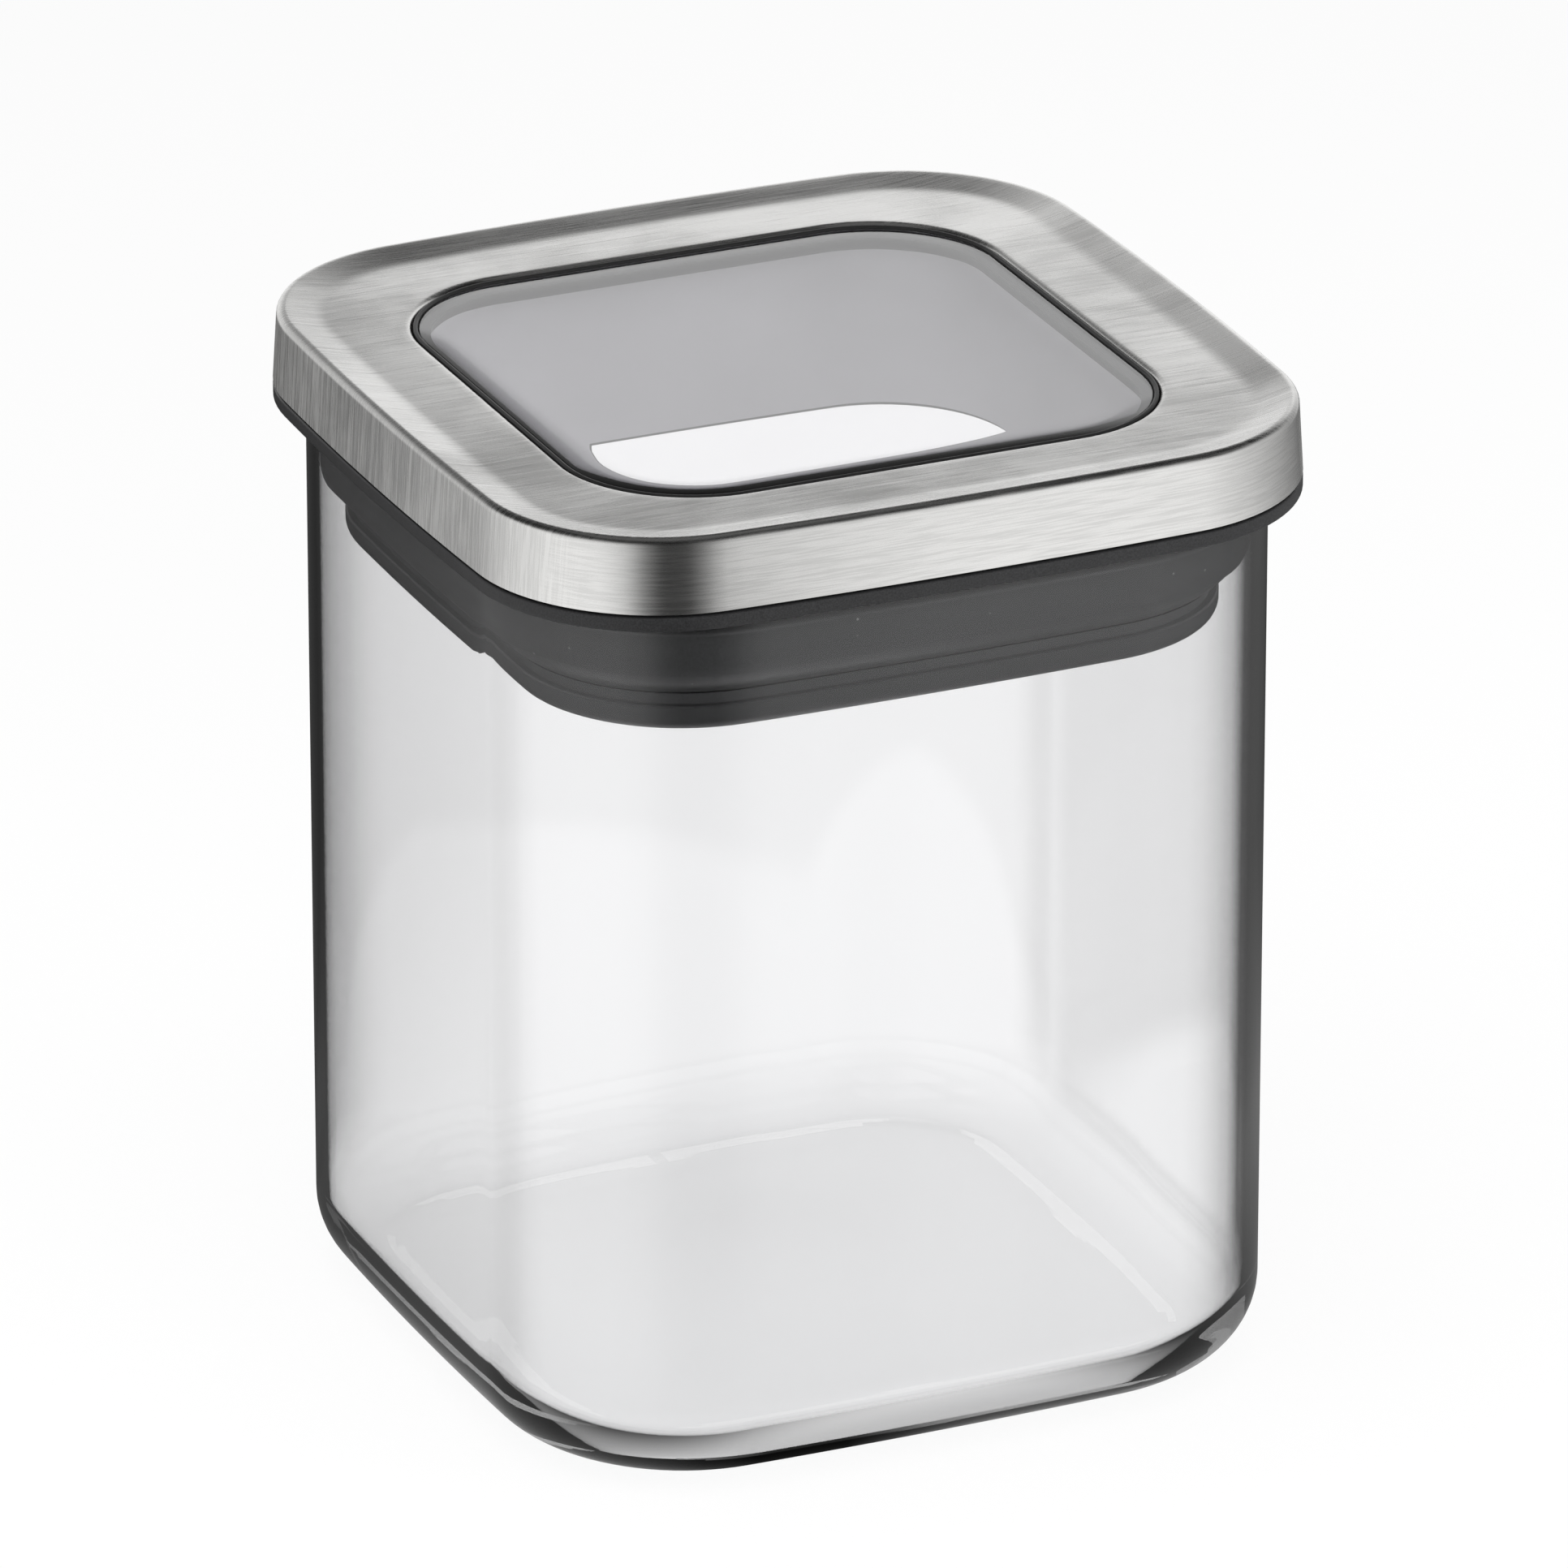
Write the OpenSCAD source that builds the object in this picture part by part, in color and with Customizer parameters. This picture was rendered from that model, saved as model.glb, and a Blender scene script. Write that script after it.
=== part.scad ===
// Square glass storage jar with a push-in lid.
// The lid is a pressed steel cover over a moulded frame, with a flat window in its top
// and a flared seal round the plug that goes into the jar's mouth.
// All sizes are in millimetres, Z is up and the jar stands on Z = 0.

/* [Jar] */
// Width of the glass across its flats, at the middle of each side
jar_w = 100; // [80:1:140]
// Height of the glass, from the table to the mouth
jar_h = 112; // [60:1:220]
// Radius of the upright corners
jar_corner = 26; // [22:0.5:32]
// Angle that the slightly bulged sides turn through
jar_bow = 4; // [2:0.5:6]
// Thickness of the glass wall
wall_t = 1.8; // [1.4:0.1:2.4]
// Thickness of the glass floor inside the foot
floor_t = 3.4; // [2.4:0.1:5]
// Radius where the wall turns into the base
base_round = 9.6; // [6:0.2:11]
// Width of the flat foot that stands on the table
foot_w = 3; // [2:0.5:4]
// How far the underside is pushed up inside the foot
push_up = 0.8; // [0.3:0.1:1.2]
// Radius of the fire-polished edges of the mouth
rim_round = 0.5; // [0.2:0.1:0.6]

/* [Lid cover] */
// How far the cover stands out past the glass
overhang = 2.5; // [1.5:0.1:4]
// Corner radius of the cover
cover_corner = 23; // [20:0.5:30]
// Angle that the cover's slightly bulged sides turn through
cover_bow = 5; // [2:0.5:7]
// Height of the cover's skirt, up to its crest
skirt_h = 9.1; // [7:0.1:14]
// How far the skirt leans in over its height
skirt_lean = 0.5; // [0.2:0.1:1]
// Thickness of the steel sheet
steel_t = 0.7; // [0.5:0.05:0.8]
// Outside radius of the bend along the crest
crest_round = 1; // [0.9:0.1:1.6]
// Width of the slope inside the crest
slope_w = 4; // [3:0.1:5]
// Depth of the flat top below the crest
dish_depth = 1; // [0.6:0.1:1.4]

/* [Window] */
// How far the edge of the opening stands in from the hollow of the plug
window_step = 3; // [2:0.1:12]
// Corner radius of the opening
window_corner = 16.4; // [12:0.2:20]
// Height of the edge that is turned down round the opening
lip_h = 1.6; // [1.2:0.1:2]
// Radius of the bend into that edge
lip_round = 0.9; // [0.8:0.1:1.1]
// Thickness of the pane
pane_t = 2.2; // [1.6:0.1:3]
// How far the pane lies below the flat top
pane_drop = 0.4; // [0.1:0.1:0.8]
// Width of the gasket between the pane and the steel
gasket_w = 0.7; // [0.5:0.1:1.5]
// How far the shelf reaches under the pane
shelf_w = 1.6; // [1:0.1:3]

/* [Lid frame] */
// Height of the band that shows between the steel and the glass
band_h = 2.2; // [1.6:0.1:4]
// Depth of the plug below the mouth
plug_depth = 16.3; // [15:0.1:24]
// Gap between the plug's lower ring and the glass
plug_gap = 3.9; // [3.4:0.1:5]
// How far the lower ring stands out past the seal's seat
ring_step = 2; // [1.5:0.1:2.5]
// Height of the lower ring
ring_h = 3.3; // [2.6:0.1:4]
// Thickness of the plug's wall
plug_t = 1.8; // [1.4:0.1:2.4]
// Thickness of the frame's shelf and upright rim
frame_t = 1.4; // [1:0.1:2]
// Gap between that rim and the steel skirt
rim_clear = 0.15; // [0.1:0.05:0.4]

/* [Seal] */
// Gap between the lip of the seal and the glass
seal_clear = 0.15; // [0.1:0.05:0.4]
// How far the lip starts below the mouth
lip_start = 2; // [1:0.1:2.6]
// Height of the straight part of the lip
lip_flat = 2.4; // [1.5:0.1:3]
// Height of the flared part below it
flare_h = 7; // [6:0.1:8]
// Step under the edge of the lip
lip_step = 0.35; // [0.2:0.05:0.6]

/* [Motion] */
// How far the lid is drawn up out of the jar
lift = 0; // [0:1:150]

/* [Hidden] */
$fn = 96;
// Thin gap between pieces that are held together by a light push fit.
seat_fit = 0.04;

// Each outline is a square with rounded corners: its half width, its corner radius and
// half the angle of its sides, which are arcs tangent to the corners or straight at 0.
jar_line = [jar_w / 2, jar_corner, jar_bow / 2];
cover_line = [jar_w / 2 + overhang, cover_corner, cover_bow / 2];

// Heights, from the mouth up.
band_top = jar_h + band_h;
crest_z = band_top + skirt_h;
deck_z = crest_z - dish_depth;
sheet_z = deck_z - steel_t;
pane_z = deck_z - pane_drop;
shelf_z = pane_z - pane_t;

// Heights, from the mouth down.
plug_z = jar_h - plug_depth;
seal_z = plug_z + ring_h;
lip_z = jar_h - lip_start;
flare_z = lip_z - lip_flat;
flare_foot = flare_z - flare_h;

// Offsets from the glass's outline, all inwards: its own inside, the lip of the seal,
// the lower ring, the seal's seat and the inside of the plug.
inside_d = -wall_t;
lip_d = inside_d - seal_clear;
ring_d = inside_d - plug_gap;
seat_d = ring_d - ring_step;
hollow_d = seat_d - plug_t;

// The window keeps its distance from the hollow of the plug.
window_line = [jar_w / 2 + hollow_d - window_step, window_corner, 0];

// The flared side of the seal is an arc that starts upright and leans in by the step
// between the lip and the lower ring.
flare_in = lip_d - ring_d;
flare_r = (flare_h * flare_h + flare_in * flare_in) / (2 * flare_in);

// Both coordinates of a corner's centre.
function corner_c(line) = (line[0] - line[1]) / (1 + tan(line[2] / 2));

// Radius of a side's arc, whose centre lies on the line through the corner's centre.
function side_r(line) = line[1] + corner_c(line) / sin(line[2]);

// Moves by whole millimetres, then by whole thousandths and then by the rest, which keeps
// every digit of a long way.
module shift(x, y = 0) {
    whole = [round(x), round(y)];
    small = [round((x - whole[0]) * 1000), round((y - whole[1]) * 1000)] / 1000;
    translate(whole)
        translate(small)
        translate([x, y] - whole - small)
        children();
}

// One straight or bulged side of a sweep.
module sweep_side(line) {
    c = corner_c(line);
    if (line[2] == 0) {
        translate([line[0], c, 0])
            rotate([90, 0, 0])
            linear_extrude(height = 2 * c)
            children();
    } else {
        r = side_r(line);
        shift(line[0] - r)
            rotate_extrude(angle = 2 * line[2], start = -line[2], $fn = 720)
            shift(r)
            children();
    }
}

// Sweeps a flat profile round an outline: X is the offset outwards, Y is the height.
module sweep(line) {
    c = corner_c(line);
    for (turn = [0:90:270]) {
        rotate([0, 0, turn]) {
            sweep_side(line)
                children();
            shift(c, c)
                rotate_extrude(angle = 90 - 2 * line[2], start = line[2])
                translate([line[1], 0])
                children();
        }
    }
}

// The part of an area that lies behind one of its sides.
module side_area(line, d) {
    c = corner_c(line);
    far = line[0] + d;
    if (line[2] == 0) {
        translate([0, -c])
            square([far, 2 * c]);
    } else {
        r = side_r(line);
        w = c - (line[1] + c) * sin(line[2]);
        intersection() {
            shift(line[0] - r)
                circle(r = r + d, $fn = 720);
            polygon([[0, -w], [c, -c], [far + 1, -c], [far + 1, c], [c, c], [0, w]]);
        }
    }
}

// The area inside an outline that is moved outwards by d.
module area(line, d = 0) {
    c = corner_c(line);
    for (turn = [0:90:270]) {
        rotate(turn) {
            side_area(line, d);
            translate([c, c])
                circle(r = line[1] + d);
        }
    }
}

// A flat plate inside an outline.
module plate(line, d, z, h) {
    translate([0, 0, z])
        linear_extrude(height = h)
        area(line, d);
}

// A rectangle given by its corners.
module box(x0, y0, x1, y1) {
    translate([x0, y0])
        square([x1 - x0, y1 - y0]);
}

// A quarter of a disc about a centre, on its outer lower side.
module quarter(x, y, r) {
    intersection() {
        translate([x, y])
            circle(r = r);
        box(x, y - r, x + r, y);
    }
}

// Wall of the glass, from the flat part of the floor out: thick rounded base, even wall
// and a mouth with polished edges.
module jar_profile(reach) {
    bore_r = base_round - wall_t;
    bore_z = floor_t + bore_r;
    foot_d = base_round + foot_w;
    difference() {
        union() {
            box(-wall_t, bore_z, 0, jar_h - rim_round);
            box(-wall_t + rim_round, jar_h - 2 * rim_round, -rim_round, jar_h);
            translate([-rim_round, jar_h - rim_round])
                circle(r = rim_round);
            translate([rim_round - wall_t, jar_h - rim_round])
                circle(r = rim_round);
            quarter(-base_round, base_round, base_round);
            box(-base_round, base_round, 0, bore_z + 1);
            box(-reach, 0, -base_round, bore_z);
        }
        translate([-base_round, bore_z])
            circle(r = bore_r);
        box(-reach - 1, floor_t, -base_round, bore_z);
        box(-reach - 1, bore_z, -wall_t, bore_z + base_round);
        polygon([
            [-foot_d, 0],
            [-foot_d - 2 * push_up, push_up],
            [-reach - 1, push_up],
            [-reach - 1, -1],
            [-foot_d, -1]
        ]);
    }
}

// Blown glass body with its floor.
module jar() {
    reach = base_round + foot_w + 2 * push_up + 3;
    color([0.86, 0.9, 0.9, 0.4])
        union() {
            sweep(jar_line)
                jar_profile(reach);
            plate(jar_line, 1 - reach, push_up, floor_t - push_up);
        }
}

// The space under the pressed sheet, g inside its outer face.
module cover_hill(g) {
    a = atan2(dish_depth, slope_w);
    mid = [-skirt_lean - crest_round, crest_z - crest_round];
    r = crest_round - g;
    top = mid + r * [-sin(a), cos(a)];
    foot_x = top[0] - (top[1] - deck_z + g) / tan(a);
    end_x = -crest_round - slope_w - 3;
    low = band_top - (g > 0 ? 1 : 0);
    translate(mid)
        circle(r = r);
    polygon([
        [-g, low],
        [-skirt_lean - g, mid[1]],
        mid,
        top,
        [foot_x, deck_z - g],
        [end_x - g, deck_z - g],
        [end_x - g, low]
    ]);
}

// Edge of the sheet that turns down round the window; X = 0 is the opening.
module lip_profile() {
    box(0, deck_z - lip_h, steel_t, deck_z - lip_round);
    box(lip_round, sheet_z, lip_round + 2, deck_z);
    intersection() {
        difference() {
            translate([lip_round, deck_z - lip_round])
                circle(r = lip_round);
            translate([lip_round, deck_z - lip_round])
                circle(r = lip_round - steel_t);
        }
        box(0, deck_z - lip_round, lip_round, deck_z);
    }
}

// Pressed steel cover: leaning skirt, raised crest, flat top and turned-down window edge.
module lid_cover() {
    color([0.75, 0.75, 0.74])
        union() {
            sweep(cover_line)
                difference() {
                    cover_hill(0);
                    cover_hill(steel_t);
                }
            difference() {
                plate(cover_line, -crest_round - slope_w - 2, sheet_z, steel_t);
                plate(window_line, lip_round + 1, sheet_z - 1, steel_t + 2);
            }
            sweep(window_line)
                lip_profile();
        }
}

// Wall of the plug with the lower ring that holds the seal.
module plug_profile() {
    ring_round = ring_step;
    core_d = hollow_d - 1;
    box(core_d, plug_z + ring_round, seat_d, sheet_z);
    box(core_d, plug_z, ring_d - ring_round, seal_z);
    box(core_d, plug_z + ring_round, ring_d, seal_z);
    quarter(ring_d - ring_round, plug_z + ring_round, ring_round);
}

// Upright rim inside the steel skirt, which leans with it.
module rim_profile() {
    top_z = sheet_z - 0.3;
    lean = skirt_lean * (top_z - band_top) / (skirt_h - crest_round);
    gap = steel_t + rim_clear;
    polygon([
        [-gap, band_top - 0.5],
        [-gap, band_top],
        [-gap - lean, top_z],
        [-gap - lean - frame_t, top_z],
        [-gap - frame_t, band_top - 0.5]
    ]);
}

// Moulded frame: band on the glass, plug, seal seat, lower ring and window shelf.
module lid_frame() {
    hole_d = -gasket_w - shelf_w;
    color([0.12, 0.12, 0.13])
        difference() {
            union() {
                plate(cover_line, 0, jar_h, band_h);
                plate(jar_line, seat_d - plug_t / 2, shelf_z - frame_t, frame_t);
                sweep(jar_line)
                    plug_profile();
                sweep(cover_line)
                    rim_profile();
            }
            plate(jar_line, hollow_d, plug_z - 1, shelf_z - frame_t - plug_z + 1);
            plate(window_line, hole_d, shelf_z - frame_t - 1, frame_t + 2);
        }
}

// Flared seal: a neck under the band, a lip that wipes the glass and an arc that leans in
// to the lower ring, with a groove between them.
module seal_profile() {
    inner_d = seat_d + seat_fit;
    groove_z = flare_foot;
    edge_z = flare_z - flare_h / 2;
    top_r = 0.8;
    box(inner_d, seal_z, inner_d + 1, jar_h);
    box(inner_d, lip_z - 2, ring_d + 1, jar_h);
    box(inner_d, groove_z, ring_d, lip_z);
    box(ring_d, flare_z, lip_d, lip_z - top_r);
    box(ring_d, flare_z, lip_d - top_r, lip_z);
    translate([lip_d - top_r, lip_z - top_r])
        circle(r = top_r);
    intersection() {
        union() {
            difference() {
                translate([lip_d - flare_r, flare_z])
                    circle(r = flare_r);
                box(lip_d - 2 * flare_r, flare_z - 2 * flare_r, lip_d + 1, edge_z);
            }
            translate([lip_d - flare_r, flare_z])
                circle(r = flare_r - lip_step);
        }
        box(inner_d, groove_z, lip_d + 1, flare_z);
    }
}

// Soft ring round the plug.
module seal_ring() {
    color([0.3, 0.3, 0.31])
        sweep(jar_line)
        seal_profile();
}

// Clear pane in the lid.
module window_pane() {
    color([0.75, 0.75, 0.8, 0.5])
        plate(window_line, -gasket_w, shelf_z, pane_t);
}

// Thin ring between the pane and the steel edge.
module window_gasket() {
    r = (gasket_w - 2 * seat_fit) / 2;
    color([0.06, 0.06, 0.06])
        sweep(window_line) {
            box(-gasket_w + seat_fit, shelf_z, -seat_fit, pane_z);
            translate([-seat_fit - r, pane_z])
                circle(r = r);
        }
}

// All pieces of the lid, which move as one.
module lid_piece() {
    translate([0, 0, lift])
        children();
}

jar();
lid_piece() lid_cover();
lid_piece() lid_frame();
lid_piece() seal_ring();
lid_piece() window_pane();
lid_piece() window_gasket();
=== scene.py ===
import bpy
import numpy as np
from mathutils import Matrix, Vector


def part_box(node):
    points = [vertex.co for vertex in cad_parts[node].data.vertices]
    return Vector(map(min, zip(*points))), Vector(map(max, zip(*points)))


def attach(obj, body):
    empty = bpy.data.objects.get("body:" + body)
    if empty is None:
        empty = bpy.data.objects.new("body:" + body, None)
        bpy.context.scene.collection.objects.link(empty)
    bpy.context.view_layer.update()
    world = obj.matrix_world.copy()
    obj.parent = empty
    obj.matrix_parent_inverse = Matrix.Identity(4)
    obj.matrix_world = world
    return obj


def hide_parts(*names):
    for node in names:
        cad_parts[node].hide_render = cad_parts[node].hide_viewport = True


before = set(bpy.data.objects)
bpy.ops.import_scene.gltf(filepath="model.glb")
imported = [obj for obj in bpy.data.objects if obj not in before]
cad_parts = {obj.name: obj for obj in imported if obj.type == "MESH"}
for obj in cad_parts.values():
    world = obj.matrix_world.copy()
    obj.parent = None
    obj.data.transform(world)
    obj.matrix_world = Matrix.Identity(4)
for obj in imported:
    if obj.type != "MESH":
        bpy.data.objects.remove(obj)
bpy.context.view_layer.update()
mm = 0.001
cornerLimit = 0.92        # share of its corner radius by which a ring goes in as a true offset
centreShare = 0.93        # share of the half width that closes to a pole
hair = 0.01 * mm          # nearer than this is the same height
print("frame loaded:", ", ".join(sorted(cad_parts)))


def nodeBox(name):
    low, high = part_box(name)
    return np.array(low), np.array(high)


def outline(shape, offset=0.0, perSide=28, perCorner=22):
    # Points and outward normals round a square with rounded corners, moved out by offset.
    #
    # A side is an arc of half turn t, tangent to the corners: with corner radius r and half
    # width h the corner's centre is (c, c), c = (h - r) / (1 + tan(t / 2)), and the side's
    # radius is r + c / sin(t). A turn of 0 gives straight sides.
    h, r, t = shape["half"], shape["corner"], np.radians(shape["turn"] / 2)
    c = (h - r) / (1 + np.tan(t / 2))
    s = np.linspace(-1, 1, perSide)
    if t > 0:
        big = r + c / np.sin(t)
        angle = s * t
        normal = np.stack([np.cos(angle), np.sin(angle)], 1)
        side = np.array([h - big, 0]) + (big + offset) * normal
    else:
        normal = np.stack([np.ones(perSide), np.zeros(perSide)], 1)
        side = np.stack([np.full(perSide, h + offset), s * c], 1)
    angle = np.linspace(t, np.pi / 2 - t, perCorner)[1:-1]
    turned = np.stack([np.cos(angle), np.sin(angle)], 1)
    corner = np.array([c, c]) + (r + offset) * turned
    quarter = np.concatenate([side, corner])
    normals = np.concatenate([normal, turned])
    points, outward = [], []
    for k in range(4):
        a = k * np.pi / 2
        m = np.array([[np.cos(a), np.sin(a)], [-np.sin(a), np.cos(a)]])
        points.append(quarter @ m)
        outward.append(normals @ m)
    return np.concatenate(points), np.concatenate(outward)


def ring(shape, offset):
    # One ring of a sweep. Past the corner's centre the ring shrinks towards the middle.
    limit = -cornerLimit * shape["corner"]
    if offset >= limit:
        return outline(shape, offset)[0]
    points = outline(shape, limit)[0]
    return points * (shape["half"] + offset) / (shape["half"] + limit)


def arc(x, z, r, start, end, count=9):
    # Points on an arc in a profile, angles in degrees from the outward direction.
    a = np.radians(np.linspace(start, end, count))
    return np.stack([x + r * np.cos(a), z + r * np.sin(a)], 1)


def line(p, q, count=6):
    return np.linspace(p, q, count)


def joined(*parts):
    # Profile pieces put end to end, without doubled points.
    points = np.concatenate([np.atleast_2d(np.asarray(p, float)) for p in parts])
    keep = np.r_[True, np.abs(np.diff(points, axis=0)).max(1) > 1e-7]
    return points[keep]


def meshFromGrid(name, grid, wrapRows, poles=(None, None)):
    # Rows of the grid go along the profile and columns round the outline, which is closed.
    #
    # Every four neighbours make a face; a pole closes the first or last row to one point.
    rows, cols = grid.shape[:2]
    verts = grid.reshape(-1, 3)
    i = np.arange(rows if wrapRows else rows - 1)[:, None]
    j = np.arange(cols)[None]
    a, b = i * cols + j, i * cols + (j + 1) % cols
    down = ((i + 1) % rows) * cols
    quads = np.stack([a, b, down + (j + 1) % cols, down + j], -1).reshape(-1, 4)
    faces = quads.tolist()
    extra = []
    for pole, row, flip in ((poles[0], 0, False), (poles[1], rows - 1, True)):
        if pole is None:
            continue
        tip = len(verts) + len(extra)
        extra.append(pole)
        first, second = row * cols + j[0], row * cols + (j[0] + 1) % cols
        fan = np.stack([first, np.full(cols, tip), second], 1)
        faces += (fan[:, ::-1] if flip else fan).tolist()
    if extra:
        verts = np.concatenate([verts, np.array(extra)])
    mesh = bpy.data.meshes.new(name)
    mesh.from_pydata(verts.tolist(), [], faces)
    uv = mesh.uv_layers.new(name="along")
    corner = np.empty(len(mesh.loops), dtype=np.int32)
    mesh.loops.foreach_get("vertex_index", corner)
    u = (corner % cols) / cols
    v = np.minimum(corner // cols, rows - 1) / rows
    uv.data.foreach_set("uv", np.stack([u, v], 1).ravel())
    mesh.validate()
    mesh.shade_smooth()
    return mesh


def addPiece(name, mesh, body, nodes, material):
    piece = bpy.data.objects.new(name, mesh)
    bpy.context.scene.collection.objects.link(piece)
    piece.data.materials.append(material)
    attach(piece, body)
    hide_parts(*nodes)
    return piece


def sweepPiece(name, shape, profile, body, nodes, material, closed=True, poles=(None, None)):
    # Carries a profile of (offset, height) points round an outline.
    grid = np.stack([
        np.column_stack([ring(shape, d), np.full(len(outline(shape)[0]), z)])
        for d, z in profile
    ])
    mesh = meshFromGrid(name, grid, closed, poles)
    return addPiece(name, mesh, body, nodes, material)


def newMaterial(name):
    material = bpy.data.materials.new(name)
    material.use_nodes = True
    tree = material.node_tree
    return material, tree, tree.nodes["Principled BSDF"]


def addNode(tree, kind, settings=None, **inputs):
    node = tree.nodes.new(kind)
    for key, value in (settings or {}).items():
        setattr(node, key, value)
    for key, value in inputs.items():
        node.inputs[key.replace("_", " ")].default_value = value
    return node


def calc(tree, operation, a, b=None, clamp=False):
    node = addNode(tree, "ShaderNodeMath", {"operation": operation, "use_clamp": clamp})
    for socket, value in zip(node.inputs, (a, b)):
        if value is None:
            continue
        if isinstance(value, (int, float)):
            socket.default_value = value
        else:
            tree.links.new(value, socket)
    return node.outputs[0]


def mapRange(tree, value, low, high, toLow, toHigh, smooth=False):
    kind = "SMOOTHSTEP" if smooth else "LINEAR"
    node = addNode(tree, "ShaderNodeMapRange", {"interpolation_type": kind})
    for key, number in (("From Min", low), ("From Max", high), ("To Min", toLow), ("To Max", toHigh)):
        node.inputs[key].default_value = number
    tree.links.new(value, node.inputs["Value"])
    return node.outputs["Result"]


def mixColour(tree, factor, a, b, blend="MIX"):
    node = addNode(tree, "ShaderNodeMix", {"data_type": "RGBA", "blend_type": blend})
    for socket, value in ((node.inputs[0], factor), (node.inputs[6], a), (node.inputs[7], b)):
        if isinstance(value, (int, float)):
            socket.default_value = value
        elif isinstance(value, (tuple, list)):
            socket.default_value = (*value, 1) if len(value) == 3 else value
        else:
            tree.links.new(value, socket)
    return node.outputs[2]


def mixFloat(tree, factor, a, b):
    node = addNode(tree, "ShaderNodeMix", {"data_type": "FLOAT"})
    for socket, value in ((node.inputs[0], factor), (node.inputs[2], a), (node.inputs[3], b)):
        if isinstance(value, (int, float)):
            socket.default_value = value
        else:
            tree.links.new(value, socket)
    return node.outputs[0]


def setStops(ramp, stops):
    elements = ramp.color_ramp.elements
    elements[0].position, elements[1].position = stops[0][0], stops[-1][0]
    for place, _ in stops[1:-1]:
        elements.new(place)
    for element, (place, value) in zip(elements, stops):
        element.position = place
        element.color = (value, value, value, 1)


def group(name, inputs, outputs):
    # A new node group with named sockets; returns it with its two end nodes.
    tree = bpy.data.node_groups.new(name, "ShaderNodeTree")
    for label, kind, value in inputs:
        socket = tree.interface.new_socket(label, in_out="INPUT", socket_type=kind)
        if value is not None:
            socket.default_value = value
    for label, kind in outputs:
        tree.interface.new_socket(label, in_out="OUTPUT", socket_type=kind)
    return tree, tree.nodes.new("NodeGroupInput"), tree.nodes.new("NodeGroupOutput")


def useGroup(tree, made, **inputs):
    node = addNode(tree, "ShaderNodeGroup")
    node.node_tree = made
    for key, value in inputs.items():
        node.inputs[key].default_value = value
    return node


def letLightThrough(tree, shader, colour):
    # Clear pieces cast only a pale shadow, because no light is focused behind them here.
    clear = addNode(tree, "ShaderNodeBsdfTransparent", Color=(*colour, 1))
    path = addNode(tree, "ShaderNodeLightPath")
    mix = addNode(tree, "ShaderNodeMixShader")
    tree.links.new(path.outputs["Is Shadow Ray"], mix.inputs[0])
    tree.links.new(shader.outputs[0], mix.inputs[1])
    tree.links.new(clear.outputs[0], mix.inputs[2])
    tree.links.new(mix.outputs[0], tree.nodes["Material Output"].inputs["Surface"])


def objectPlace(tree):
    return addNode(tree, "ShaderNodeTexCoord").outputs["Object"]


def speckGroup():
    # Fine moulding grain and a little dust, for the black and grey parts.
    tree, start, end = group(
        "fineGrain",
        [("Place", "NodeSocketVector", None), ("Grain", "NodeSocketFloat", 6000.0),
         ("Dust", "NodeSocketFloat", 0.5)],
        [("Grain", "NodeSocketFloat"), ("Dust", "NodeSocketFloat")])
    noise = addNode(tree, "ShaderNodeTexNoise", Detail=3.0, Roughness=0.6)
    tree.links.new(start.outputs["Place"], noise.inputs["Vector"])
    tree.links.new(start.outputs["Grain"], noise.inputs["Scale"])
    tree.links.new(noise.outputs["Fac"], end.inputs["Grain"])
    spots = addNode(tree, "ShaderNodeTexVoronoi", {"feature": "F1"}, Scale=420.0)
    tree.links.new(start.outputs["Place"], spots.inputs["Vector"])
    near = mapRange(tree, spots.outputs["Distance"], 0.04, 0.09, 1, 0)
    pick = addNode(tree, "ShaderNodeSeparateColor")
    tree.links.new(spots.outputs["Color"], pick.inputs[0])
    rare = calc(tree, "GREATER_THAN", pick.outputs[0], 0.86)
    dust = calc(tree, "MULTIPLY", calc(tree, "MULTIPLY", near, rare), start.outputs["Dust"])
    tree.links.new(dust, end.inputs["Dust"])
    return tree


def smearGroup():
    # Soft cloudy patches, for wiped glass and handled metal.
    tree, start, end = group(
        "softSmear",
        [("Place", "NodeSocketVector", None), ("Size", "NodeSocketFloat", 30.0),
         ("Low", "NodeSocketFloat", 0.0), ("High", "NodeSocketFloat", 1.0)],
        [("Value", "NodeSocketFloat")])
    noise = addNode(tree, "ShaderNodeTexNoise", Detail=4.0, Roughness=0.55, Distortion=0.4)
    tree.links.new(start.outputs["Place"], noise.inputs["Vector"])
    tree.links.new(start.outputs["Size"], noise.inputs["Scale"])
    spread = addNode(tree, "ShaderNodeMapRange", {"interpolation_type": "SMOOTHSTEP"})
    spread.inputs["From Min"].default_value = 0.35
    spread.inputs["From Max"].default_value = 0.68
    tree.links.new(noise.outputs["Fac"], spread.inputs["Value"])
    tree.links.new(start.outputs["Low"], spread.inputs["To Min"])
    tree.links.new(start.outputs["High"], spread.inputs["To Max"])
    tree.links.new(spread.outputs["Result"], end.inputs["Value"])
    return tree


fineGrain = speckGroup()
softSmear = smearGroup()


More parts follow.
